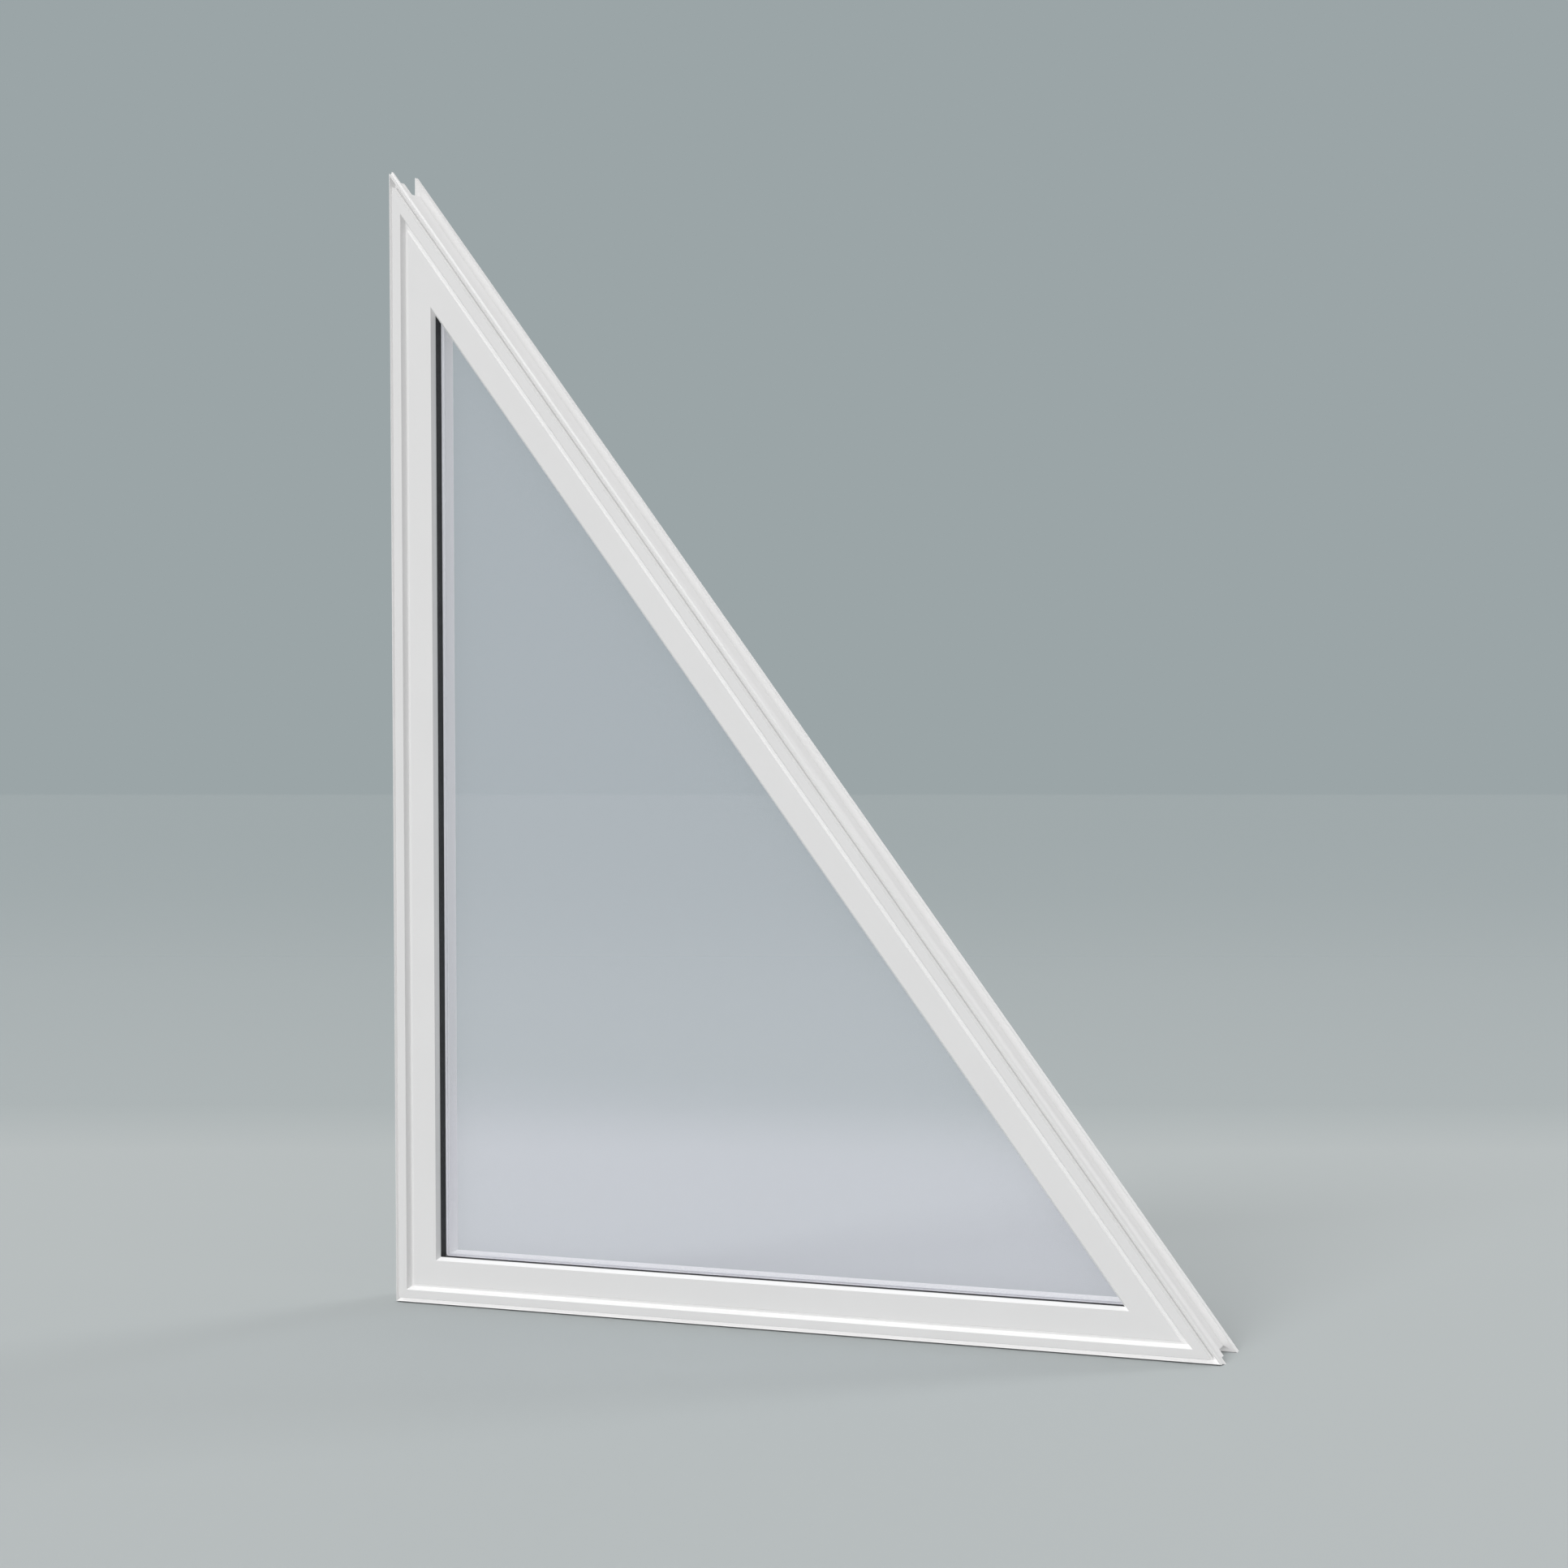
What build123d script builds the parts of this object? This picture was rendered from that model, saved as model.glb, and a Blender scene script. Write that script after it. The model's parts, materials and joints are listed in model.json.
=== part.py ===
from build123d import *
from collections import namedtuple
from math import cos, radians, sin, tan
import os

os.makedirs("parts", exist_ok=True)

# Fixed triangular window: upright jamb on the left, level sill, sloping rake head.
# X runs along the sill, Y runs from the front face to the rear, Z is up.
# Every rail has one section, given as (inset, depth): inset is measured inwards
# from the widest edge of the frame, depth from the front plane of the rim.

# Overall size
frame_width = 914.4
frame_height = 1219.2
frame_depth = 79.5

# Wall of the hollow rails and general edge rounding
wall = 2.2
web = 1.8
edge_radius = 0.4

# Front lip and the groove between lip and rim
lip_recess = 1.0
lip_setback = 2.6
lip_width = 1.1
lip_slope = 0.7
lip_groove_taper = 2.5
lip_groove_floor = 1.3
lip_groove_depth = 10.2
lip_length = 8.0

# Rim and the sloping wall that runs down to the bead platform
rim_width = 9.5
rim_radius = 0.8
rim_slope = 2.8
platform_depth = 6.5
platform_margin = 2.7

# Snap slot that takes the leg of each glazing bead
slot_margin = 3.6
slot_width = 2.8
slot_depth = 6.0
notch_offset = 2.6
notch_height = 2.2
notch_reach = 0.8
snap_clearance = 0.15

# Glazing bead
bead_setback = 4.05
bead_edge_slope = 0.8
bead_face_width = 26.7
bead_reveal_slope = 3.1
bead_nose_height = 4.55
bead_wall = 1.5
bead_radius = 0.5

# Insulating glass unit and its seals
pocket_inset = 30.0
glass_edge_gap = 6.0
gasket_thickness = 1.35
gasket_width = 11.0
pane_thickness = 4.0
cavity_width = 14.45
spacer_height = 8.2
spacer_wall = 1.0
edge_seal_height = 4.8
tape_thickness = 3.3
tape_margin = 2.0
tape_recess = 0.6

# Rear glazing stop and rear leg
stop_reach = 50.2
stop_slope = 1.6
stop_depth = 17.8
stop_radius = 1.5
rear_leg_inset = 28.0

# Outside of the rail: two bands, a channel and the rear flange
band_start = 12.1
band_width = 3.4
band_return = 1.5
shoulder_recess = 3.4
shoulder_end = 35.0
channel_recess = 6.9
channel_slope = 1.5
flange_rear_margin = 3.7
flange_width = 8.4
flange_radius = 0.8
cove_radius = 6.0
cove_turn = 41.0
cove_lead = 0.3
kerf_width = 1.0
kerf_depth = 0.8
rear_step_recess = 1.05
rear_step_slope = 1.2

# Blocks between the pocket floor and the edge of the glass
block_length = 80.0
block_spread = 320.0
block_clearance = 0.3

# Places along the section, added up from the sizes above
lip_inner = lip_recess + lip_width
rim_inset = lip_inner + lip_groove_taper + lip_groove_floor
rim_end = rim_inset + rim_width
platform_start = rim_end + rim_slope
bead_start = platform_start + platform_margin
slot_start = bead_start + slot_margin
slot_end = slot_start + slot_width
slot_bottom = platform_depth + slot_depth
notch_start = platform_depth + notch_offset
notch_end = notch_start + notch_height
bead_face_start = bead_start + bead_edge_slope
bead_face_end = bead_face_start + bead_face_width
bead_nose_depth = bead_setback + bead_nose_height
glass_setback = bead_nose_depth + gasket_thickness
reveal_depth = glass_setback - bead_setback
bead_nose = bead_face_end + bead_reveal_slope * bead_nose_height / reveal_depth
reveal_end = bead_face_end + bead_reveal_slope
glass_edge = pocket_inset + glass_edge_gap
outer_pane_back = glass_setback + pane_thickness
inner_pane_front = outer_pane_back + cavity_width
inner_pane_back = inner_pane_front + pane_thickness
spacer_start = glass_edge + edge_seal_height
spacer_end = spacer_start + spacer_height
stop_front = inner_pane_back + tape_thickness
stop_back = stop_front + stop_depth
tape_start = glass_edge + tape_margin
tape_end = stop_reach - tape_recess
flange_back = frame_depth - flange_rear_margin
flange_setback = flange_back - flange_width
cove_tangent = cove_radius * tan(radians(cove_turn / 2)) + cove_lead
cove_corner = channel_recess - cove_tangent * cos(radians(cove_turn))
cove_start = flange_setback - cove_tangent * sin(radians(cove_turn))

# Corners of the outside triangle on the front plane, and its incircle
front = -frame_depth / 2
depth_axis = Vector(0, 1, 0)
foot = Vector(-frame_width / 2, front, 0)
peak = Vector(-frame_width / 2, front, frame_height)
toe = Vector(frame_width / 2, front, 0)
rake_length = (toe - peak).length
perimeter = frame_width + frame_height + rake_length
incentre = (foot * rake_length + peak * frame_width + toe * frame_height) * (1 / perimeter)
incircle_radius = frame_width * frame_height / perimeter

Side = namedtuple("Side", "name start end")
sides = [
    Side("left_jamb", foot, peak),
    Side("rake_head", peak, toe),
    Side("bottom_sill", toe, foot),
]


def inset_corner(corner, inset):
    """A corner of the triangle whose sides lie this far inside the outside edge."""
    return incentre + (corner - incentre) * (1 - inset / incircle_radius)


def section_plane(side, origin):
    """Plane across a side: local x points inwards, local y to the rear."""
    along = (side.end - side.start).normalized()
    return Plane(origin=origin, x_dir=depth_axis.cross(along), z_dir=along)


def mitre_plane(corner):
    """Plane through a corner and the middle of the triangle."""
    return Plane(origin=corner, z_dir=depth_axis.cross(incentre - corner))


def make_rail(side, name, corners, hollows=()):
    """One mitred length of a section. Each corner is (inset, depth, radius)."""
    with BuildPart() as rail:
        with BuildSketch(section_plane(side, side.start)):
            with BuildLine():
                places = [(inset, depth) for inset, depth, radius in corners]
                FilletPolyline(places, radius=[corner[2] for corner in corners], close=True)
            make_face()
            for hollow in hollows:
                with BuildLine():
                    Polyline(hollow, close=True)
                make_face(mode=Mode.SUBTRACT)
        extrude(amount=(side.end - side.start).length)
        split(bisect_by=mitre_plane(side.start), keep=Keep.BOTTOM)
        split(bisect_by=mitre_plane(side.end), keep=Keep.TOP)
    rail.part.label = f"{side.name}_{name}"
    export_step(rail.part, f"parts/{side.name}_{name}.step")


def rectangle(low_inset, high_inset, low_depth, high_depth):
    """The four square corners of a plain strip, as (inset, depth)."""
    return [
        (low_inset, low_depth),
        (high_inset, low_depth),
        (high_inset, high_depth),
        (low_inset, high_depth),
    ]


def square(places):
    """The same corners with no rounding."""
    return [(inset, depth, 0) for inset, depth in places]


# Frame section, from the front lip inwards, round the stop, and back along the outside
frame_corners = [
    (lip_recess, lip_setback, edge_radius),
    (lip_inner, lip_setback + lip_slope, edge_radius),
    (lip_inner + lip_groove_taper, lip_groove_depth, 0),
    (rim_inset, lip_groove_depth, 0),
    (rim_inset, 0, edge_radius),
    (rim_end, 0, rim_radius),
    (platform_start, platform_depth, edge_radius),
    (slot_start, platform_depth, 0),
    (slot_start, notch_start, 0),
    (slot_start - notch_reach, notch_start, 0),
    (slot_start, notch_end, 0),
    (slot_start, slot_bottom, 0),
    (slot_end, slot_bottom, 0),
    (slot_end, platform_depth, 0),
    (pocket_inset, platform_depth, 0),
    (pocket_inset, stop_front, 0),
    (stop_reach, stop_front, edge_radius),
    (stop_reach + stop_slope, stop_back, stop_radius),
    (rear_leg_inset, stop_back, edge_radius),
    (rear_leg_inset, frame_depth, edge_radius),
    (rear_step_recess, frame_depth, edge_radius),
    (rear_step_recess, flange_back + rear_step_slope, 0),
    (0, flange_back, 0),
    (0, flange_setback, flange_radius),
    (cove_corner, flange_setback, cove_radius),
    (channel_recess, cove_start, 0),
    (channel_recess + kerf_depth, cove_start - kerf_width / 2, 0),
    (channel_recess, cove_start - kerf_width, 0),
    (channel_recess, shoulder_end + channel_slope, 0),
    (shoulder_recess, shoulder_end, 0),
    (shoulder_recess, band_start + band_width + band_return, 0),
    (0, band_start + band_width, 0),
    (0, band_start, 0),
    (lip_recess, lip_length, 0),
]

# Hollow chambers of the frame section, one wall in from each face
web_start = platform_start - web
web_end = platform_start
shoulder_wall = shoulder_recess + wall
channel_wall = channel_recess + kerf_depth + wall
pocket_wall = pocket_inset - wall
mid_web_front = shoulder_end - wall
mid_web_back = stop_front + wall
rear_web_front = stop_back - wall
frame_hollows = [
    [
        (rim_inset + wall, wall),
        (rim_end - wall, wall),
        (web_start, platform_depth + wall),
        (web_start, mid_web_front),
        (shoulder_wall, mid_web_front),
        (shoulder_wall, lip_groove_depth + wall),
        (rim_inset + wall, lip_groove_depth + wall),
    ],
    [
        (web_end, platform_depth + wall),
        (slot_start - notch_reach - wall, platform_depth + wall),
        (slot_start - notch_reach - wall, slot_bottom + wall),
        (pocket_wall, slot_bottom + wall),
        (pocket_wall, mid_web_front),
        (web_end, mid_web_front),
    ],
    rectangle(channel_wall, web_start, mid_web_back, rear_web_front),
    rectangle(web_end, stop_reach - wall, mid_web_back, rear_web_front),
    [
        (channel_wall, stop_back),
        (rear_leg_inset - wall, stop_back),
        (rear_leg_inset - wall, frame_depth - wall),
        (rear_step_recess + wall, frame_depth - wall),
        (rear_step_recess + wall, flange_setback + wall),
        (channel_wall, flange_setback + wall),
    ],
]

# Bead section: edge bevel, flat face, sloping reveal, nose, and the snap leg
leg_outer = slot_start + snap_clearance
leg_inner = slot_end - snap_clearance
bead_back = pocket_inset + snap_clearance
bead_corners = [
    (bead_start, platform_depth, 0),
    (bead_face_start, bead_setback, bead_radius),
    (bead_face_end, bead_setback, bead_radius),
    (bead_nose, bead_nose_depth, 0),
    (bead_back, bead_nose_depth, 0),
    (bead_back, platform_depth, 0),
    (leg_inner, platform_depth, 0),
    (leg_inner, slot_bottom - snap_clearance, 0),
    (leg_outer, slot_bottom - snap_clearance, 0),
    (leg_outer, notch_end - snap_clearance, 0),
    (leg_outer - notch_reach, notch_start + snap_clearance, 0),
    (leg_outer, notch_start + snap_clearance, 0),
    (leg_outer, platform_depth, 0),
]
bead_hollows = [
    rectangle(
        bead_back + bead_wall,
        bead_face_end - bead_wall,
        bead_setback + bead_wall,
        bead_nose_depth - bead_wall,
    )
]

# Front gasket carries the slope of the reveal on to the glass
gasket_corners = square(
    [
        (bead_nose - gasket_width, bead_nose_depth),
        (bead_nose, bead_nose_depth),
        (reveal_end, glass_setback),
        (bead_nose - gasket_width, glass_setback),
    ]
)
tape_corners = square(rectangle(tape_start, tape_end, inner_pane_back, stop_front))
seal_corners = square(rectangle(glass_edge, spacer_start, outer_pane_back, inner_pane_front))
spacer_corners = square(rectangle(spacer_start, spacer_end, outer_pane_back, inner_pane_front))
spacer_hollows = [
    rectangle(
        spacer_start + spacer_wall,
        spacer_end - spacer_wall,
        outer_pane_back + spacer_wall,
        inner_pane_front - spacer_wall,
    )
]

for side in sides:
    make_rail(side, "frame", frame_corners, frame_hollows)
    make_rail(side, "bead", bead_corners, bead_hollows)
    make_rail(side, "front_gasket", gasket_corners)
    make_rail(side, "rear_tape", tape_corners)
    make_rail(side, "edge_seal", seal_corners)
    make_rail(side, "spacer", spacer_corners, spacer_hollows)

# The two panes are whole triangles
glass_corners = [inset_corner(corner, glass_edge) for corner in (foot, peak, toe)]
for pane_name, pane_front in (("outer_pane", glass_setback), ("inner_pane", inner_pane_front)):
    with BuildPart() as pane:
        with BuildSketch(Plane.XZ.offset(-(front + pane_front))):
            with BuildLine():
                Polyline([(corner.X, corner.Z) for corner in glass_corners], close=True)
            make_face()
        extrude(amount=-pane_thickness)
    pane.part.label = pane_name
    export_step(pane.part, f"parts/{pane_name}.step")

# Two blocks carry the glass on the sill, and one locates it on each other side
jamb, rake, sill = sides
blocks = [
    ("sill_block_right", sill, -block_spread / 2),
    ("sill_block_left", sill, block_spread / 2),
    ("jamb_block", jamb, 0),
    ("rake_block", rake, 0),
]
for block_name, side, shift in blocks:
    along = (side.end - side.start).normalized()
    start = inset_corner(side.start, pocket_inset)
    end = inset_corner(side.end, pocket_inset)
    middle = (start + end) * 0.5 + along * shift
    with BuildPart() as block:
        with BuildSketch(section_plane(side, middle)):
            with BuildLine():
                Polyline(
                    rectangle(0, glass_edge_gap, glass_setback, stop_front - block_clearance),
                    close=True,
                )
            make_face()
        extrude(amount=block_length / 2, both=True)
    block.part.label = block_name
    export_step(block.part, f"parts/{block_name}.step")
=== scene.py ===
"""Looks of the rake head window: finishes, fine glazing details, studio and camera."""
import json
import logging
import math
from dataclasses import dataclass
from enum import Enum

import bmesh
import bpy
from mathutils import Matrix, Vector

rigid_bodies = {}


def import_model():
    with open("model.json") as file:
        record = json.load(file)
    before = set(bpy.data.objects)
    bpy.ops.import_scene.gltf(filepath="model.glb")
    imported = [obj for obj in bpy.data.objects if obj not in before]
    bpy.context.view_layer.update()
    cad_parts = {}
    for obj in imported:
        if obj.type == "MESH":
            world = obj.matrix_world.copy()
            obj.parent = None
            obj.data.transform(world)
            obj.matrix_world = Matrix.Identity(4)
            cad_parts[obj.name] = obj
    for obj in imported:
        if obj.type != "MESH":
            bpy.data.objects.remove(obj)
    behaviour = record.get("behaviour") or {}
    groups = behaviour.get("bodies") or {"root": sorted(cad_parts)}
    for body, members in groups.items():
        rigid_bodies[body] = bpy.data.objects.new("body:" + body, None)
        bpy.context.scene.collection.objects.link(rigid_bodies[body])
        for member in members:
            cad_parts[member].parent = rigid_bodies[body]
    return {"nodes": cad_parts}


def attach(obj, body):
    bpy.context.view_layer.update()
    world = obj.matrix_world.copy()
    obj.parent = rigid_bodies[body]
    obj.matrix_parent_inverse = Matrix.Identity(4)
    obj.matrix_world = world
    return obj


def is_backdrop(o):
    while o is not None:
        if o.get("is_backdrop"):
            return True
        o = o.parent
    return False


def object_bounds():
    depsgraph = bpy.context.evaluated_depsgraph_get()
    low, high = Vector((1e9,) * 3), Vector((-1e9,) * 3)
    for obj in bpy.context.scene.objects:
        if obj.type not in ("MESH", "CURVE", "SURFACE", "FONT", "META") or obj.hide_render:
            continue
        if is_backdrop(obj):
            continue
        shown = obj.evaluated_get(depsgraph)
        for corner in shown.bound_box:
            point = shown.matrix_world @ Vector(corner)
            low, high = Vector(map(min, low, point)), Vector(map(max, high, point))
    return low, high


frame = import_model()

MILLIMETRE: float = 0.001
BODY: str = "root"
Triple = tuple[float, float, float]
Colour = tuple[float, float, float, float]

# The ways to the main light, in front on the left, and to the weaker one behind.
KEY_SIDE: Triple = (-0.455, -0.589, 0.668)
REAR_SIDE: Triple = (0.347, 0.620, 0.704)

log = logging.getLogger("rake_head_window")


class Side(Enum):
    """A side of the triangle, by the first part of its nodes' names."""

    JAMB = "left_jamb"
    RAKE = "rake_head"
    SILL = "bottom_sill"

    def node(self, part: str) -> str:
        """Return the name of this side's node for a part such as frame or bead."""
        return f"{self.value}_{part}"


@dataclass(frozen=True)
class Outline:
    """The window's outer triangle, seen from the front, in metres."""

    width: float
    height: float
    front: float

    @classmethod
    def of_frame(cls) -> "Outline":
        """Read the triangle and its front rim plane from the box of the CAD nodes."""
        low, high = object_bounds()
        return cls(high[0] - low[0], high[2] - low[2], low[1])

    def turn(self, side: Side) -> float:
        """Find how a pattern is turned so that it runs along a side.

        Args:
            side: the side to follow.

        Returns:
            The turn about Y, in radians, that lays the X axis along the side.
        """
        if side is Side.JAMB:
            return -math.pi / 2
        if side is Side.RAKE:
            return math.atan2(self.height, self.width)
        return 0.0

    def inset(self, distance: float, depth: float) -> list[Vector]:
        """Find the corners of the triangle drawn inside this one, side by side.

        Args:
            distance: how far in from each side, in metres.
            depth: how far behind the front rim plane, in metres.

        Returns:
            The foot, peak and toe corners, in that order.
        """
        slope = math.hypot(self.width, self.height)
        radius = (self.width + self.height - slope) / 2
        centre = Vector((-self.width / 2 + radius, 0.0, radius))
        corners = (
            Vector((-self.width / 2, 0.0, 0.0)),
            Vector((-self.width / 2, 0.0, self.height)),
            Vector((self.width / 2, 0.0, 0.0)),
        )
        share = 1 - distance / radius
        place = Vector((0.0, self.front + depth, 0.0))
        return [centre + (corner - centre) * share + place for corner in corners]


class NodeWork:
    """A node tree with short ways to add and join nodes."""

    def __init__(self, tree: bpy.types.NodeTree) -> None:
        """Work on this tree."""
        self.tree = tree

    def add(self, kind: str, **settings: object) -> bpy.types.Node:
        """Add a node.

        Args:
            kind: the node's type name.
            settings: properties to set on it.

        Returns:
            The new node.
        """
        node = self.tree.nodes.new(kind)
        for key, value in settings.items():
            setattr(node, key, value)
        return node

    def join(self, source: bpy.types.NodeSocket, target: bpy.types.NodeSocket) -> None:
        """Link an output socket to an input socket."""
        self.tree.links.new(source, target)

    def mix(
        self, share: bpy.types.NodeSocket, base: bpy.types.Node, over: bpy.types.Node
    ) -> bpy.types.Node:
        """Mix two shaders.

        Args:
            share: the socket with the share of the second shader, from 0 to 1.
            base: the first shader's node.
            over: the second shader's node.

        Returns:
            The mixed shader's node.
        """
        mixed = self.add("ShaderNodeMixShader")
        self.join(share, mixed.inputs["Fac"])
        self.join(base.outputs[0], mixed.inputs[1])
        self.join(over.outputs[0], mixed.inputs[2])
        return mixed


class Recipe(NodeWork):
    """The node tree of one material; lengths in it are in metres."""

    # Noise rarely leaves this range, so a finish is spread over it.
    noise_low: float = 0.3
    noise_high: float = 0.7

    def __init__(self, name: str) -> None:
        """Start an empty material.

        Args:
            name: the material's name.
        """
        self.material = bpy.data.materials.new(name)
        self.material.use_nodes = True
        super().__init__(self.material.node_tree)
        self.tree.nodes.clear()
        self.output = self.add("ShaderNodeOutputMaterial")

    def surface(self, colour: Colour, roughness: float, gloss: float = 0.5) -> bpy.types.Node:
        """Add the surface shader and join it to the output.

        Args:
            colour: base colour, linear.
            roughness: base roughness.
            gloss: specular level.

        Returns:
            The shader node.
        """
        shader = self.add("ShaderNodeBsdfPrincipled")
        shader.inputs["Base Color"].default_value = colour
        shader.inputs["Roughness"].default_value = roughness
        shader.inputs["Specular IOR Level"].default_value = gloss
        self.join(shader.outputs["BSDF"], self.output.inputs["Surface"])
        return shader

    def place(self, turn: float, stretch: Triple) -> bpy.types.NodeSocket:
        """Read object coordinates, turned about Y and divided by a size on each axis.

        Args:
            turn: the turn about Y, in radians.
            stretch: the size of one pattern unit along each turned axis.

        Returns:
            The socket with the mapped coordinates.
        """
        source = self.add("ShaderNodeTexCoord")
        mapping = self.add("ShaderNodeMapping", vector_type="TEXTURE")
        mapping.inputs["Rotation"].default_value = (0.0, turn, 0.0)
        mapping.inputs["Scale"].default_value = stretch
        self.join(source.outputs["Object"], mapping.inputs["Vector"])
        return mapping.outputs["Vector"]

    def noise(self, turn: float, stretch: Triple, detail: float) -> bpy.types.NodeSocket:
        """Add a noise pattern.

        Args:
            turn: the pattern's turn about Y, in radians.
            stretch: the size of one pattern unit along each turned axis.
            detail: how many finer layers the noise has.

        Returns:
            The socket with the noise value.
        """
        noise = self.add("ShaderNodeTexNoise")
        noise.inputs["Scale"].default_value = 1.0
        noise.inputs["Detail"].default_value = detail
        self.join(self.place(turn, stretch), noise.inputs["Vector"])
        return noise.outputs["Fac"]

    def even_noise(self, size: float, detail: float) -> bpy.types.NodeSocket:
        """Return the value of a noise with the same size on every axis."""
        return self.noise(0.0, (size, size, size), detail)

    def spread(self, value: bpy.types.NodeSocket, low: float, high: float) -> bpy.types.NodeSocket:
        """Map the middle part of a noise value to a range.

        Args:
            value: the socket with the noise value.
            low: the result where the noise is low.
            high: the result where the noise is high.

        Returns:
            The socket with the mapped value.
        """
        mapped = self.add("ShaderNodeMapRange")
        mapped.inputs["From Min"].default_value = self.noise_low
        mapped.inputs["From Max"].default_value = self.noise_high
        mapped.inputs["To Min"].default_value = low
        mapped.inputs["To Max"].default_value = high
        self.join(value, mapped.inputs["Value"])
        return mapped.outputs["Result"]

    def blend(self, value: bpy.types.NodeSocket, low: Colour, high: Colour) -> bpy.types.NodeSocket:
        """Run from one colour to another by a noise value.

        Args:
            value: the socket with the noise value.
            low: the colour where the noise is low.
            high: the colour where the noise is high.

        Returns:
            The socket with the colour.
        """
        ramp = self.add("ShaderNodeValToRGB")
        first, last = ramp.color_ramp.elements
        first.position, first.color = self.noise_low, low
        last.position, last.color = self.noise_high, high
        self.join(value, ramp.inputs["Fac"])
        return ramp.outputs["Color"]

    def steps(
        self, value: bpy.types.NodeSocket, stops: tuple[tuple[float, float], ...]
    ) -> bpy.types.NodeSocket:
        """Turn a value into another one by straight runs between stops.

        Args:
            value: the socket with the value, from 0 to 1.
            stops: pairs of a value and its result, in rising order.

        Returns:
            The socket with the result.
        """
        ramp = self.add("ShaderNodeValToRGB")
        marks = ramp.color_ramp.elements
        while len(marks) < len(stops):
            marks.new(1.0)
        for mark, (position, share) in zip(marks, stops):
            mark.position = position
            mark.color = (share, share, share, 1.0)
        self.join(value, ramp.inputs["Fac"])
        return ramp.outputs["Color"]

    def bump(self, height: bpy.types.NodeSocket, shader: bpy.types.Node, depth: float) -> None:
        """Raise a shader's normal by a height pattern.

        Args:
            height: the socket with the height value.
            shader: the shader that takes the normal; an earlier bump on it is kept.
            depth: the height of the pattern.
        """
        bump = self.add("ShaderNodeBump")
        bump.inputs["Strength"].default_value = 1.0
        bump.inputs["Distance"].default_value = depth
        self.join(height, bump.inputs["Height"])
        earlier = shader.inputs["Normal"].links
        if earlier:
            self.join(earlier[0].from_socket, bump.inputs["Normal"])
        self.join(bump.outputs["Normal"], shader.inputs["Normal"])


@dataclass(frozen=True)
class RigidVinyl:
    """White extruded vinyl: die lines, a faint orange peel, soft clouds and painted shade in tight
    recesses.
    """

    name: str
    light: Colour = (0.9, 0.897, 0.895, 1.0)
    shade: Colour = (0.885, 0.882, 0.88, 1.0)
    roughness_low: float = 0.3
    roughness_high: float = 0.44
    line_length: float = 0.6
    line_width: float = 0.0016
    line_height: float = 0.000012
    line_detail: float = 2.0
    peel_size: float = 0.0012
    peel_height: float = 0.000006
    peel_detail: float = 1.0
    cloud_size: float = 0.09
    cloud_detail: float = 3.0
    # The reach is how far a face looks for others; the painted shade thins out from closed to open.
    recess_shade_reach: float = 0.0019
    recess_shade_closed: float = 0.1
    recess_shade_open: float = 0.7
    recess_shade_tone: float = 0.1
    recess_shade_samples: int = 8

    def painted_recess_shade(self, recipe: Recipe) -> bpy.types.NodeSocket:
        """Paint shade into the base colour where grooves and kerfs are narrower than the reach.

        Args:
            recipe: the material's tree.

        Returns:
            The socket with the share of the base colour that is left, up to 1.
        """
        # Painted shade: occlusion within the reach darkens the base colour of tight grooves.
        near = recipe.add("ShaderNodeAmbientOcclusion", samples=self.recess_shade_samples, only_local=True)
        near.inputs["Distance"].default_value = self.recess_shade_reach
        unshaded_share = recipe.add("ShaderNodeMapRange")
        unshaded_share.inputs["From Min"].default_value = self.recess_shade_closed
        unshaded_share.inputs["From Max"].default_value = self.recess_shade_open
        unshaded_share.inputs["To Min"].default_value = self.recess_shade_tone
        recipe.join(near.outputs["AO"], unshaded_share.inputs["Value"])
        return unshaded_share.outputs["Result"]

    def make(self, side: Side, turn: float) -> bpy.types.Material:
        """Build the finish for one side.

        Args:
            side: the side, for the material's name.
            turn: the turn about Y, in radians, that lays the die lines along the side.

        Returns:
            The material.
        """
        recipe = Recipe(f"{self.name}_{side.value}")
        shader = recipe.surface(self.light, self.roughness_low)
        lines = recipe.noise(
            turn, (self.line_length, self.line_width, self.line_width), self.line_detail
        )
        clouds = recipe.noise(turn, (self.cloud_size,) * 3, self.cloud_detail)
        peel = recipe.even_noise(self.peel_size, self.peel_detail)
        colour = recipe.add("ShaderNodeVectorMath", operation="SCALE")
        recipe.join(recipe.blend(clouds, self.shade, self.light), colour.inputs[0])
        # The cloudy base colour is scaled down by the painted recess shade.
        recipe.join(self.painted_recess_shade(recipe), colour.inputs["Scale"])
        recipe.join(colour.outputs["Vector"], shader.inputs["Base Color"])
        rough = recipe.spread(lines, self.roughness_low, self.roughness_high)
        recipe.join(rough, shader.inputs["Roughness"])
        recipe.bump(lines, shader, self.line_height)
        recipe.bump(peel, shader, self.peel_height)
        return recipe.material


@dataclass(frozen=True)
class SoftStrip:
    """A soft strip, such as a gasket, foam tape or sealant: grainy, with a matte cloudy face."""

    name: str
    light: Colour
    shade: Colour
    roughness: float
    grain_size: float
    grain_height: float
    gloss: float = 0.3
    roughness_swing: float = 0.08
    grain_detail: float = 3.0
    cloud_grains: float = 20.0
    cloud_detail: float = 2.0

    def make(self) -> bpy.types.Material:
        """Build the finish.

        Returns:
            The material.
        """
        recipe = Recipe(self.name)
        shader = recipe.surface(self.light, self.roughness, self.gloss)
        grain = recipe.even_noise(self.grain_size, self.grain_detail)
        clouds = recipe.even_noise(self.grain_size * self.cloud_grains, self.cloud_detail)
        recipe.join(recipe.blend(clouds, self.shade, self.light), shader.inputs["Base Color"])
        smoothest = self.roughness - self.roughness_swing
        roughest = self.roughness + self.roughness_swing
        recipe.join(recipe.spread(grain, smoothest, roughest), shader.inputs["Roughness"])
        recipe.bump(grain, shader, self.grain_height)
        return recipe.material


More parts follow.
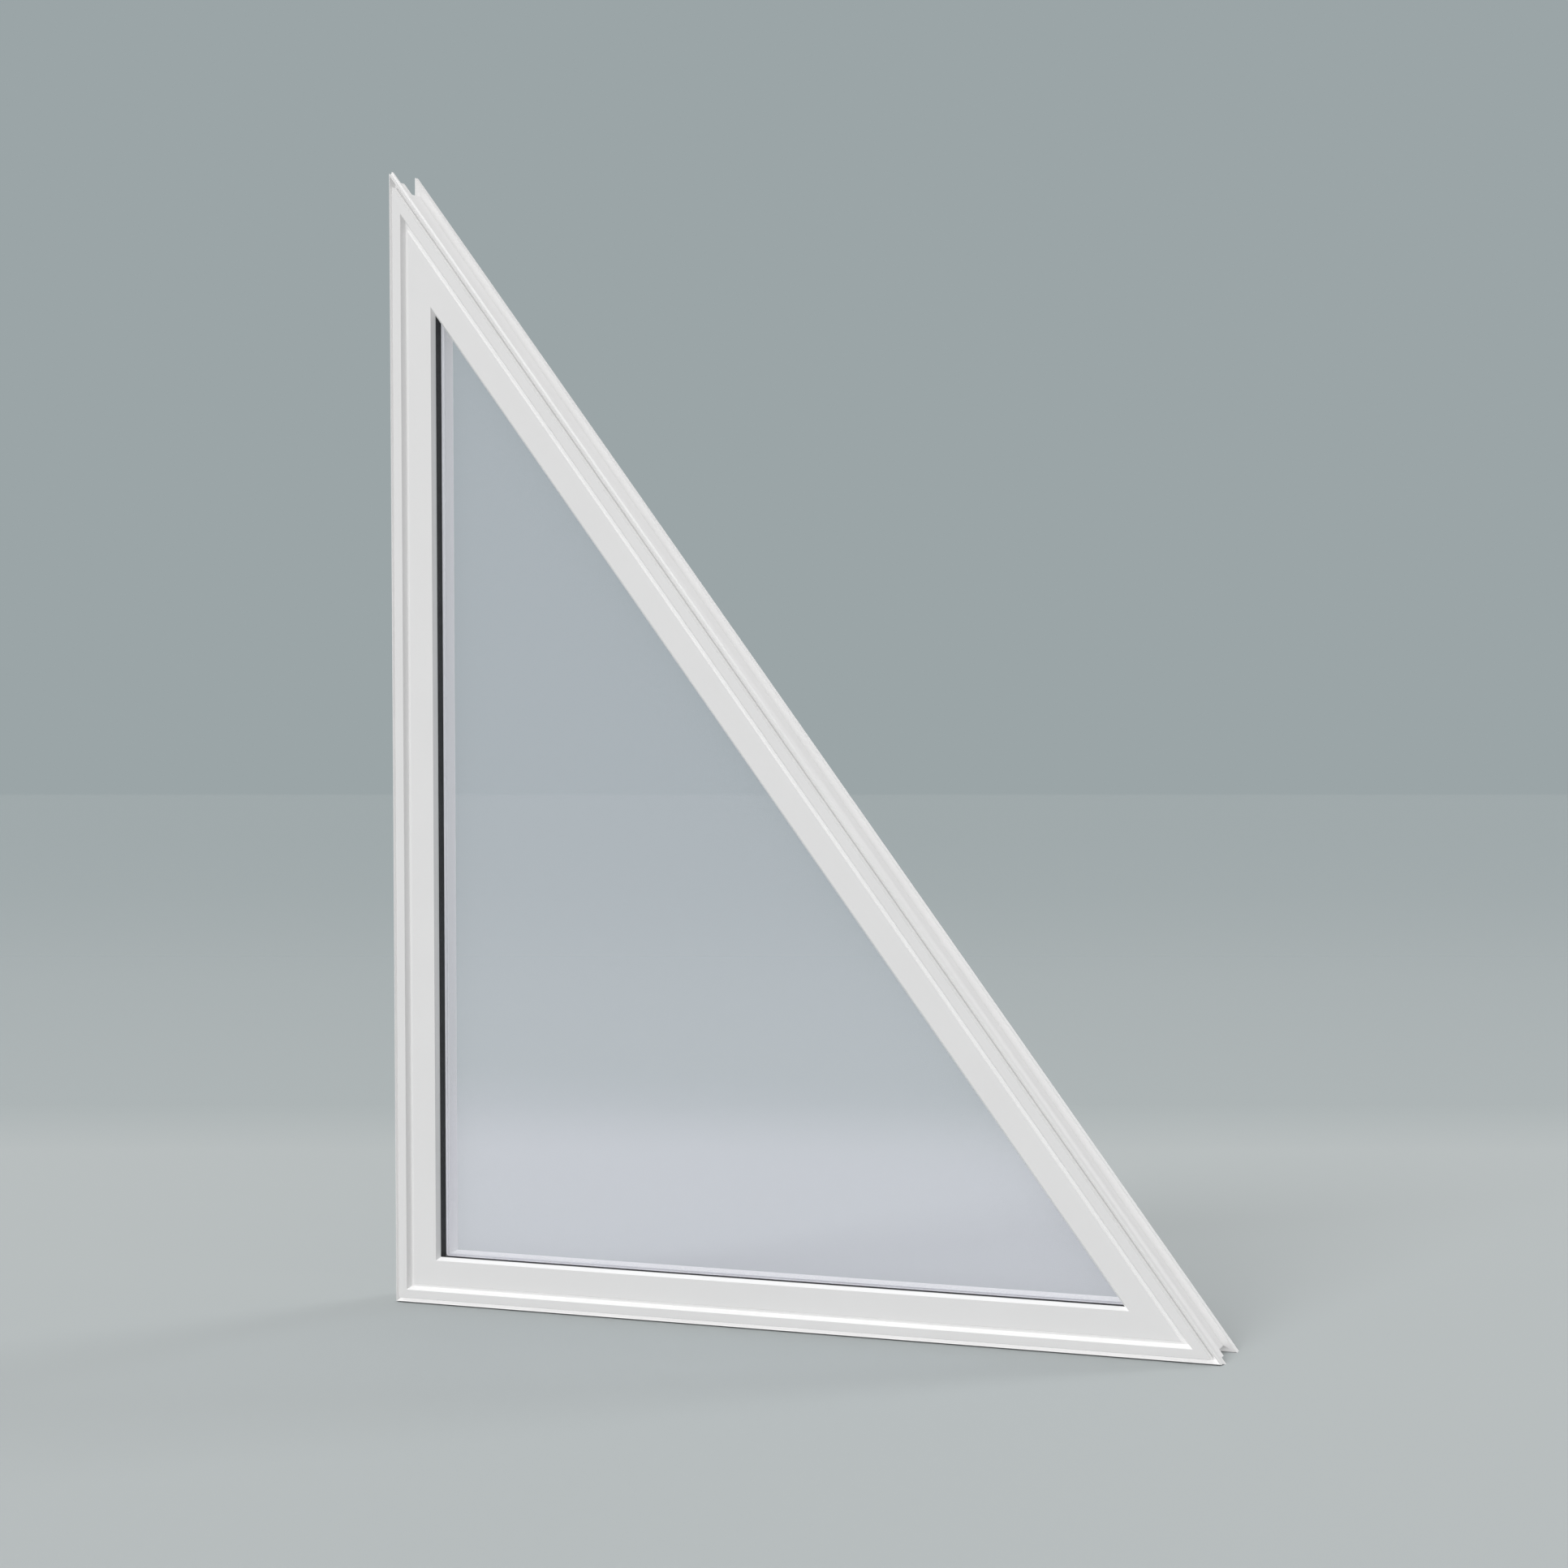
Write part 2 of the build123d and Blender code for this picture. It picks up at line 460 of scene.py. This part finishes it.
@dataclass(frozen=True)
class FloatGlass:
    """Clear float glass, see-through, with a faint cool painted sheen, denser low down and edge-on."""

    name: str
    tint: Colour
    sheen: Colour
    sheen_top: float
    sheen_foot: float
    sheen_edge_on: float = 0.45
    foot_start: float = 0.27
    foot_end: float = 0.16
    facing_blend: float = 0.5
    smoothest: float = 0.03
    roughest: float = 0.06
    cloud_size: float = 0.35
    cloud_detail: float = 2.0

    def painted_sheen_share(self, recipe: Recipe) -> bpy.types.NodeSocket:
        """Work out the share of the painted sheen, by height and by how edge-on it is seen.

        Args:
            recipe: the material's tree.

        Returns:
            The socket with the share of the painted sheen, from 0 to 1.
        """
        angle = recipe.add("ShaderNodeLayerWeight")
        angle.inputs["Blend"].default_value = self.facing_blend
        rise = recipe.add("ShaderNodeMapRange", interpolation_type="SMOOTHERSTEP")
        rise.inputs["To Max"].default_value = self.sheen_edge_on
        source = recipe.add("ShaderNodeTexCoord")
        axes = recipe.add("ShaderNodeSeparateXYZ")
        # Painted reflection: the sheen is denser towards the foot of the pane.
        foot_sheen = recipe.add("ShaderNodeMapRange", interpolation_type="SMOOTHSTEP")
        foot_sheen.inputs["From Min"].default_value = self.foot_end
        foot_sheen.inputs["From Max"].default_value = self.foot_start
        foot_sheen.inputs["To Min"].default_value = self.sheen_foot
        foot_sheen.inputs["To Max"].default_value = self.sheen_top
        share = recipe.add("ShaderNodeMath", operation="ADD", use_clamp=True)
        recipe.join(angle.outputs["Facing"], rise.inputs["Value"])
        recipe.join(source.outputs["Object"], axes.inputs["Vector"])
        recipe.join(axes.outputs["Z"], foot_sheen.inputs["Value"])
        recipe.join(foot_sheen.outputs["Result"], share.inputs[0])
        recipe.join(rise.outputs["Result"], share.inputs[1])
        return share.outputs["Value"]

    def make(self) -> bpy.types.Material:
        """Build the finish.

        Returns:
            The material.
        """
        recipe = Recipe(self.name)
        shader = recipe.surface(self.sheen, self.smoothest)
        clouds = recipe.even_noise(self.cloud_size, self.cloud_detail)
        rough = recipe.spread(clouds, self.smoothest, self.roughest)
        recipe.join(rough, shader.inputs["Roughness"])
        clear = recipe.add("ShaderNodeBsdfTransparent")
        clear.inputs["Color"].default_value = self.tint
        # The lit sheen layer mixed over the clear glass is a painted reflection.
        sheened = recipe.mix(self.painted_sheen_share(recipe), clear, shader)
        recipe.join(sheened.outputs["Shader"], recipe.output.inputs["Surface"])
        return recipe.material


def dress(node: str, material: bpy.types.Material) -> None:
    """Give a CAD node its finish.

    Args:
        node: the node's name.
        material: the finish for all its faces.
    """
    mesh_object = frame["nodes"][node]
    if not mesh_object.material_slots:
        mesh_object.data.materials.append(material)
    for place in mesh_object.material_slots:
        place.material = material
    log.info("%s: %s", node, material.name)


def face_outwards(mesh: bpy.types.Mesh) -> None:
    """Turn the faces of a closed mesh outwards.

    Args:
        mesh: the mesh to change.
    """
    skin = bmesh.new()
    skin.from_mesh(mesh)
    bmesh.ops.recalc_face_normals(skin, faces=skin.faces)
    skin.to_mesh(mesh)
    skin.free()


def loop_mesh(name: str, corners: list[Vector]) -> bpy.types.Mesh:
    """Make a closed loop of edges.

    Args:
        name: the mesh's name.
        corners: the loop's corners, in order.

    Returns:
        The mesh, with no faces.
    """
    count = len(corners)
    edges = [(index, (index + 1) % count) for index in range(count)]
    mesh = bpy.data.meshes.new(name)
    mesh.from_pydata([tuple(corner) for corner in corners], edges, [])
    return mesh


class Growth(NodeWork):
    """A Geometry Nodes tree that is built in code and turned into one plain mesh."""

    def __init__(self, name: str, sizes: dict[str, tuple[str, object]]) -> None:
        """Start a tree with a geometry input and named sizes.

        Args:
            name: the name of the tree and of the finished piece.
            sizes: for each input's name, its socket type and its value.
        """
        super().__init__(bpy.data.node_groups.new(f"{name}_tree", "GeometryNodeTree"))
        self.name = name
        self.sizes = sizes
        face = self.tree.interface
        face.new_socket("Geometry", in_out="INPUT", socket_type="NodeSocketGeometry")
        for size, (kind, _) in sizes.items():
            face.new_socket(size, in_out="INPUT", socket_type=kind)
        face.new_socket("Geometry", in_out="OUTPUT", socket_type="NodeSocketGeometry")
        self.start = self.add("NodeGroupInput")
        self.end = self.add("NodeGroupOutput")

    def close(self, shape: bpy.types.NodeSocket, material: bpy.types.Material) -> None:
        """Finish the tree with real geometry that carries a material.

        Args:
            shape: the socket with the finished geometry.
            material: the finish for all its faces.
        """
        real = self.add("GeometryNodeRealizeInstances")
        paint = self.add("GeometryNodeSetMaterial")
        paint.inputs["Material"].default_value = material
        self.join(shape, real.inputs["Geometry"])
        self.join(real.outputs["Geometry"], paint.inputs["Geometry"])
        self.join(paint.outputs["Geometry"], self.end.inputs["Geometry"])

    def grow(self, path: bpy.types.Mesh, material: bpy.types.Material) -> bpy.types.Object:
        """Run the tree on a path and keep only its result.

        Args:
            path: the mesh of edges that the tree follows.
            material: the finish of the result.

        Returns:
            The finished piece, a plain mesh at the origin.
        """
        seed = bpy.data.objects.new(f"{self.name}_path", path)
        bpy.context.scene.collection.objects.link(seed)
        modifier = seed.modifiers.new("grow", "NODES")
        modifier.node_group = self.tree
        for item in self.tree.interface.items_tree:
            if item.in_out == "INPUT" and item.name in self.sizes:
                modifier[item.identifier] = self.sizes[item.name][1]
        graph = bpy.context.evaluated_depsgraph_get()
        mesh = bpy.data.meshes.new_from_object(seed.evaluated_get(graph), depsgraph=graph)
        bpy.data.objects.remove(seed)
        mesh.name = self.name
        face_outwards(mesh)
        mesh.materials.clear()
        mesh.materials.append(material)
        piece = bpy.data.objects.new(self.name, mesh)
        bpy.context.scene.collection.objects.link(piece)
        log.info("%s: %d faces", self.name, len(mesh.polygons))
        return piece


@dataclass
class Rails:
    """The three mitred frame rails and the three beads that snap into them."""

    outline: Outline
    frame_vinyl: RigidVinyl = RigidVinyl("frame_vinyl")
    bead_vinyl: RigidVinyl = RigidVinyl("bead_vinyl", line_width=0.0011, cloud_size=0.07)

    def dress(self) -> None:
        """Give each rail and bead a vinyl whose die lines run along it."""
        for side in Side:
            turn = self.outline.turn(side)
            dress(side.node("frame"), self.frame_vinyl.make(side, turn))
            dress(side.node("bead"), self.bead_vinyl.make(side, turn))


@dataclass
class GlassUnit:
    """Two panes with a black spacer, its seals and the butyl lines beside it."""

    outline: Outline
    butyl_inset: float = 49.0 * MILLIMETRE
    butyl_front: float = 14.35 * MILLIMETRE
    butyl_rear: float = 28.0 * MILLIMETRE
    butyl_radius: float = 0.35 * MILLIMETRE
    butyl_corner: float = 3.0 * MILLIMETRE
    butyl_corner_steps: int = 6
    butyl_sides: int = 8
    outer_glass: FloatGlass = FloatGlass(
        "outer_pane_glass", tint=(0.99, 0.995, 0.995, 1.0), sheen=(0.86, 0.92, 0.95, 1.0),
        sheen_top=0.004, sheen_foot=0.004
    )
    inner_glass: FloatGlass = FloatGlass(
        "inner_pane_glass", tint=(0.98, 0.992, 1.0, 1.0), sheen=(0.88, 0.85, 0.92, 1.0),
        sheen_top=0.123, sheen_foot=0.255
    )
    spacer_black: SoftStrip = SoftStrip(
        "spacer_black", light=(0.015, 0.015, 0.017, 1.0), shade=(0.011, 0.011, 0.012, 1.0),
        roughness=0.6, grain_size=0.0006, grain_height=0.00002, gloss=0.12
    )
    sealant: SoftStrip = SoftStrip(
        "edge_sealant", light=(0.03, 0.03, 0.03, 1.0), shade=(0.02, 0.02, 0.021, 1.0),
        roughness=0.7, grain_size=0.0011, grain_height=0.00008
    )
    butyl: SoftStrip = SoftStrip(
        "butyl_black", light=(0.014, 0.014, 0.015, 1.0), shade=(0.01, 0.01, 0.011, 1.0),
        roughness=0.35, grain_size=0.0009, grain_height=0.00003
    )

    def dress(self) -> None:
        """Give the panes, spacers and edge seals their finishes."""
        dress("outer_pane", self.outer_glass.make())
        dress("inner_pane", self.inner_glass.make())
        spacer = self.spacer_black.make()
        sealant = self.sealant.make()
        for side in Side:
            dress(side.node("spacer"), spacer)
            dress(side.node("edge_seal"), sealant)

    def butyl_line(self, name: str, depth: float) -> bpy.types.Object:
        """Sweep the thin butyl line that shows where the spacer meets a pane.

        Args:
            name: the piece's name.
            depth: how far behind the front rim plane it runs, in metres.

        Returns:
            The finished piece.
        """
        growth = Growth(name, {
            "Corner": ("NodeSocketFloat", self.butyl_corner),
            "Corner Steps": ("NodeSocketInt", self.butyl_corner_steps),
            "Radius": ("NodeSocketFloat", self.butyl_radius),
            "Sides": ("NodeSocketInt", self.butyl_sides),
        })
        given = growth.start.outputs
        curve = growth.add("GeometryNodeMeshToCurve")
        fillet = growth.add("GeometryNodeFilletCurve", mode="POLY")
        section = growth.add("GeometryNodeCurvePrimitiveCircle")
        sweep = growth.add("GeometryNodeCurveToMesh")
        growth.join(given["Geometry"], curve.inputs["Mesh"])
        growth.join(curve.outputs["Curve"], fillet.inputs["Curve"])
        growth.join(given["Corner"], fillet.inputs["Radius"])
        growth.join(given["Corner Steps"], fillet.inputs["Count"])
        growth.join(given["Radius"], section.inputs["Radius"])
        growth.join(given["Sides"], section.inputs["Resolution"])
        growth.join(fillet.outputs["Curve"], sweep.inputs["Curve"])
        growth.join(section.outputs["Curve"], sweep.inputs["Profile Curve"])
        material = self.butyl.make()
        growth.close(sweep.outputs["Mesh"], material)
        corners = self.outline.inset(self.butyl_inset, depth)
        return growth.grow(loop_mesh(f"{name}_loop", corners), material)

    def finish(self) -> None:
        """Add the butyl lines and hand them over to the frame."""
        depths = {"butyl_line_front": self.butyl_front, "butyl_line_rear": self.butyl_rear}
        for name, depth in depths.items():
            piece = self.butyl_line(name, depth)
            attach(piece, BODY)


@dataclass
class Seals:
    """The gaskets under the bead noses, the glazing tapes and the blocks in the pocket."""

    outline: Outline
    gasket: SoftStrip = SoftStrip(
        "white_gasket", light=(0.84, 0.84, 0.84, 1.0), shade=(0.8, 0.8, 0.8, 1.0),
        roughness=0.62, grain_size=0.0007, grain_height=0.00003
    )
    tape: SoftStrip = SoftStrip(
        "foam_tape", light=(0.92, 0.92, 0.93, 1.0), shade=(0.88, 0.88, 0.89, 1.0),
        roughness=0.85, grain_size=0.0008, grain_height=0.00012
    )
    lip: SoftStrip = SoftStrip(
        "seal_lip_white", light=(0.92, 0.92, 0.92, 1.0), shade=(0.89, 0.89, 0.89, 1.0),
        roughness=0.6, grain_size=0.0007, grain_height=0.00002
    )
    block: SoftStrip = SoftStrip(
        "block_rubber", light=(0.1, 0.1, 0.1, 1.0), shade=(0.07, 0.07, 0.072, 1.0),
        roughness=0.7, grain_size=0.001, grain_height=0.00006
    )
    blocks: tuple[str, ...] = ("sill_block_left", "sill_block_right", "jamb_block", "rake_block")
    lip_inset: float = 49.65 * MILLIMETRE
    lip_depth: float = 32.45 * MILLIMETRE
    lip_face: float = 1.75 * MILLIMETRE
    lip_root: float = 0.65 * MILLIMETRE
    lip_length: float = 3.15 * MILLIMETRE
    weld_distance: float = 0.01 * MILLIMETRE
    mitre: str = "mitre"

    def dress(self) -> None:
        """Give the gaskets, tapes and blocks their finishes."""
        gasket = self.gasket.make()
        tape = self.tape.make()
        block = self.block.make()
        for side in Side:
            dress(side.node("front_gasket"), gasket)
            dress(side.node("rear_tape"), tape)
        for name in self.blocks:
            dress(name, block)

    def lip_path(self) -> bpy.types.Mesh:
        """Make the loop that the seal lip follows.

        Returns:
            The loop, each corner with its mitre vector: the way it moves per metre of inset.
        """
        corners = self.outline.inset(self.lip_inset, self.lip_depth)
        further = self.outline.inset(self.lip_inset + MILLIMETRE, self.lip_depth)
        path = loop_mesh("seal_lip_loop", corners)
        mitres = path.attributes.new(self.mitre, "FLOAT_VECTOR", "POINT")
        for item, near, far in zip(mitres.data, corners, further):
            item.vector = (far - near) / MILLIMETRE
        return path

    def draw_rim(
        self, growth: Growth, shape: bpy.types.NodeSocket, rim: bpy.types.NodeSocket | None, step: str
    ) -> tuple[bpy.types.NodeSocket, bpy.types.NodeSocket]:
        """Draw one face of the lip out from the rim of what is there.

        Args:
            growth: the lip's tree.
            shape: the socket with the geometry so far.
            rim: the socket that picks its last edges, or None for the bare loop.
            step: the name of the input with the step: X inwards along the mitres, Y deeper.

        Returns:
            The sockets with the new geometry and with its new rim.
        """
        pull = growth.add("GeometryNodeExtrudeMesh", mode="EDGES")
        pull.inputs["Offset Scale"].default_value = 0.0
        mitre = growth.add("GeometryNodeInputNamedAttribute", data_type="FLOAT_VECTOR")
        mitre.inputs["Name"].default_value = self.mitre
        parts = growth.add("ShaderNodeSeparateXYZ")
        inwards = growth.add("ShaderNodeVectorMath", operation="SCALE")
        deeper = growth.add("ShaderNodeCombineXYZ")
        shift = growth.add("ShaderNodeVectorMath", operation="ADD")
        move = growth.add("GeometryNodeSetPosition")
        growth.join(shape, pull.inputs["Mesh"])
        if rim:
            growth.join(rim, pull.inputs["Selection"])
        growth.join(growth.start.outputs[step], parts.inputs["Vector"])
        growth.join(mitre.outputs["Attribute"], inwards.inputs[0])
        growth.join(parts.outputs["X"], inwards.inputs["Scale"])
        growth.join(parts.outputs["Y"], deeper.inputs["Y"])
        growth.join(inwards.outputs["Vector"], shift.inputs[0])
        growth.join(deeper.outputs["Vector"], shift.inputs[1])
        growth.join(pull.outputs["Mesh"], move.inputs["Geometry"])
        growth.join(pull.outputs["Top"], move.inputs["Selection"])
        growth.join(shift.outputs["Vector"], move.inputs["Offset"])
        return move.outputs["Geometry"], pull.outputs["Top"]

    def seal_lip(self) -> bpy.types.Object:
        """Draw the lip's section along the loop, one face after another, back to its start.

        Returns:
            The finished piece.
        """
        steps = {
            "Face Step": (self.lip_face, 0.0, 0.0),
            "Side Step": (self.lip_root - self.lip_face, self.lip_length, 0.0),
            "Root Step": (-self.lip_root, 0.0, 0.0),
            "Closing Step": (0.0, -self.lip_length, 0.0),
        }
        sizes = {name: ("NodeSocketVector", step) for name, step in steps.items()}
        growth = Growth("rear_seal_lip", sizes)
        shape, rim = growth.start.outputs["Geometry"], None
        for step in steps:
            shape, rim = self.draw_rim(growth, shape, rim, step)
        weld = growth.add("GeometryNodeMergeByDistance")
        weld.inputs["Distance"].default_value = self.weld_distance
        bare = growth.add("GeometryNodeRemoveAttribute")
        bare.inputs["Name"].default_value = self.mitre
        growth.join(shape, weld.inputs["Geometry"])
        growth.join(weld.outputs["Geometry"], bare.inputs["Geometry"])
        material = self.lip.make()
        growth.close(bare.outputs["Geometry"], material)
        return growth.grow(self.lip_path(), material)

    def finish(self) -> None:
        """Add the seal lip and hand it over to the frame."""
        piece = self.seal_lip()
        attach(piece, BODY)


class Reach(Enum):
    """What a lamp lights: only the window or only the floor."""

    WINDOW = "window"
    FLOOR = "floor"


@dataclass(frozen=True)
class Lamp:
    """One far light: where it comes from, how strong and wide it is, and what it lights."""

    name: str
    direction: Triple
    strength: float
    spread: float
    reach: Reach = Reach.WINDOW
    shadow_share: float = 0.28

    def hang(self, lit: dict[Reach, bpy.types.Collection]) -> None:
        """Add the light to the scene; a white matte face turned to it gives this strength back.

        Args:
            lit: for each reach, the collection of objects that it lights.
        """
        # Only a share of the light casts shadows, which keeps grooves and channels pale.
        for shadows, share in ((True, self.shadow_share), (False, 1 - self.shadow_share)):
            if not share:
                continue
            data = bpy.data.lights.new(self.name, "SUN")
            data.energy = self.strength * share * math.pi
            data.angle = math.radians(self.spread)
            data.use_shadow = shadows
            light = bpy.data.objects.new(self.name, data)
            light.rotation_euler = Vector(self.direction).to_track_quat("Z", "Y").to_euler()
            bpy.context.scene.collection.objects.link(light)
            light.light_linking.receiver_collection = lit[self.reach]


@dataclass
class Studio:
    """The camera at the photograph's place, soft lights, a pale floor and a plain backdrop."""

    lens: float = 78.32
    sensor: float = 36.0
    clip: tuple[float, float] = (0.05, 200.0)
    camera_place: Triple = (1.18245, -3.34917, 0.77257)
    camera_turn: float = 19.772
    camera_dip: float = 3.252
    lamps: tuple[Lamp, ...] = (
        Lamp("floor_sky", (0.0, 0.0, 1.0), 0.3, spread=150.0, reach=Reach.FLOOR, shadow_share=1.0),
        Lamp("floor_key", KEY_SIDE, 0.28, spread=16.0, reach=Reach.FLOOR, shadow_share=1.0),
        Lamp("floor_rear", REAR_SIDE, 0.13, spread=16.0, reach=Reach.FLOOR, shadow_share=1.0),
        Lamp("key_light", KEY_SIDE, 0.6, spread=30.0),
        Lamp("rear_light", REAR_SIDE, 0.28, spread=30.0),
        Lamp("front_fill", (0.0, -1.0, 0.0), 0.08, spread=40.0),
        Lamp("left_fill", (-1.0, 0.0, 0.0), 0.1, spread=40.0),
        Lamp("right_fill", (0.6, 0.0, 0.8), 0.08, spread=40.0),
        Lamp("back_fill", (0.0, 1.0, 0.0), 0.15, spread=40.0),
    )
    sky: Colour = (1.0, 1.0, 1.0, 1.0)
    sky_diffuse: float = 0.4
    sky_glossy: float = 0.6
    backdrop: Colour = (0.328, 0.376, 0.387, 1.0)
    floor_name: str = "floor"
    floor_size: float = 30.0
    floor_colour: Colour = (0.463, 0.499, 0.503, 1.0)
    floor_bounce: Colour = (0.36, 0.369, 0.371, 1.0)
    floor_roughness: float = 0.6
    floor_gloss: float = 0.2
    # How far the floor has faded at each share of the way to fade_end, in metres behind the window.
    fade_end: float = 9.4
    fade_stops: tuple[tuple[float, float], ...] = (
        (0.12, 0.0), (0.165, 0.4), (0.27, 0.5), (0.34, 0.56), (0.44, 0.69),
        (0.55, 0.79), (0.73, 0.84), (0.985, 0.85), (1.0, 1.0)
    )

    def camera(self) -> None:
        """Place the camera."""
        data = bpy.data.cameras.new("camera")
        data.lens = self.lens
        data.sensor_width = self.sensor
        data.clip_start, data.clip_end = self.clip
        camera = bpy.data.objects.new("camera", data)
        camera.location = self.camera_place
        tilt = math.radians(90.0 - self.camera_dip)
        camera.rotation_euler = (tilt, 0.0, math.radians(self.camera_turn))
        bpy.context.scene.collection.objects.link(camera)
        bpy.context.scene.camera = camera

    def world(self) -> None:
        """Give an even soft sky, and a plain backdrop where the camera sees past the floor."""
        world = bpy.data.worlds.new("studio")
        world.use_nodes = True
        work = NodeWork(world.node_tree)
        work.tree.nodes.clear()
        output = work.add("ShaderNodeOutputWorld")
        rays = work.add("ShaderNodeLightPath")
        shown = self.sky_layer(work, self.sky, self.sky_diffuse)
        for ray, colour, strength in (
            ("Is Glossy Ray", self.sky, self.sky_glossy),
            ("Is Camera Ray", self.backdrop, 1.0),
        ):
            shown = work.mix(rays.outputs[ray], shown, self.sky_layer(work, colour, strength))
        work.join(shown.outputs["Shader"], output.inputs["Surface"])
        bpy.context.scene.world = world

    def sky_layer(self, work: NodeWork, colour: Colour, strength: float) -> bpy.types.Node:
        """Add one even background.

        Args:
            work: the world's tree.
            colour: its colour, linear.
            strength: how strong it is.

        Returns:
            The background's node.
        """
        layer = work.add("ShaderNodeBackground")
        layer.inputs["Color"].default_value = colour
        layer.inputs["Strength"].default_value = strength
        return layer

    def floor_paint(self) -> bpy.types.Material:
        """Build the floor's finish, which fades into the backdrop behind the window.

        Returns:
            The material.
        """
        recipe = Recipe("floor_paint")
        shader = recipe.surface(self.floor_colour, self.floor_roughness, self.floor_gloss)
        # The light that the floor gives back to the window has a colour of its own.
        dim = recipe.add("ShaderNodeBsdfDiffuse")
        dim.inputs["Color"].default_value = self.floor_bounce
        rays = recipe.add("ShaderNodeLightPath")
        paint = recipe.mix(rays.outputs["Is Diffuse Ray"], shader, dim)
        source = recipe.add("ShaderNodeTexCoord")
        ahead = recipe.add("ShaderNodeVectorMath", operation="DOT_PRODUCT")
        turn = math.radians(self.camera_turn)
        ahead.inputs[1].default_value = (-math.sin(turn), math.cos(turn), 0.0)
        fade = recipe.add("ShaderNodeMapRange")
        fade.inputs["From Max"].default_value = self.fade_end
        recipe.join(source.outputs["Object"], ahead.inputs[0])
        recipe.join(ahead.outputs["Value"], fade.inputs["Value"])
        faded = recipe.steps(fade.outputs["Result"], self.fade_stops)
        shown = recipe.mix(faded, paint, recipe.add("ShaderNodeBsdfTransparent"))
        recipe.join(shown.outputs["Shader"], recipe.output.inputs["Surface"])
        return recipe.material

    def floor(self) -> None:
        """Lay a level floor."""
        half = self.floor_size / 2
        mesh = bpy.data.meshes.new(self.floor_name)
        corners = [(-half, -half, 0.0), (half, -half, 0.0), (half, half, 0.0), (-half, half, 0.0)]
        mesh.from_pydata(corners, [], [(0, 1, 2, 3)])
        mesh.materials.append(self.floor_paint())
        floor = bpy.data.objects.new(self.floor_name, mesh)
        bpy.context.scene.collection.objects.link(floor)
        floor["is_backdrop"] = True

    def lit(self) -> dict[Reach, bpy.types.Collection]:
        """Sort what stands in the scene by the lamps that light it.

        Returns:
            For the window and for the floor, the collection of their objects.
        """
        groups = {reach: bpy.data.collections.new(reach.value) for reach in Reach}
        for thing in bpy.context.scene.objects:
            if thing.type != "MESH":
                continue
            on_floor = thing.name == self.floor_name
            groups[Reach.FLOOR if on_floor else Reach.WINDOW].objects.link(thing)
        return groups

    def build(self) -> None:
        """Set up camera, lights, backdrop and floor, once the window is whole."""
        bpy.context.scene.view_settings.view_transform = "Standard"
        self.camera()
        self.world()
        self.floor()
        lit = self.lit()
        for lamp in self.lamps:
            lamp.hang(lit)
        log.info("studio ready")


def main() -> None:
    """Build and dress the window, in order."""
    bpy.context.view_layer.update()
    outline = Outline.of_frame()
    Rails(outline).dress()
    unit = GlassUnit(outline)
    unit.dress()
    unit.finish()
    seals = Seals(outline)
    seals.dress()
    seals.finish()
    Studio().build()


if __name__ == "__main__":
    logging.basicConfig(level=logging.INFO, format="%(name)s %(message)s")
    main()
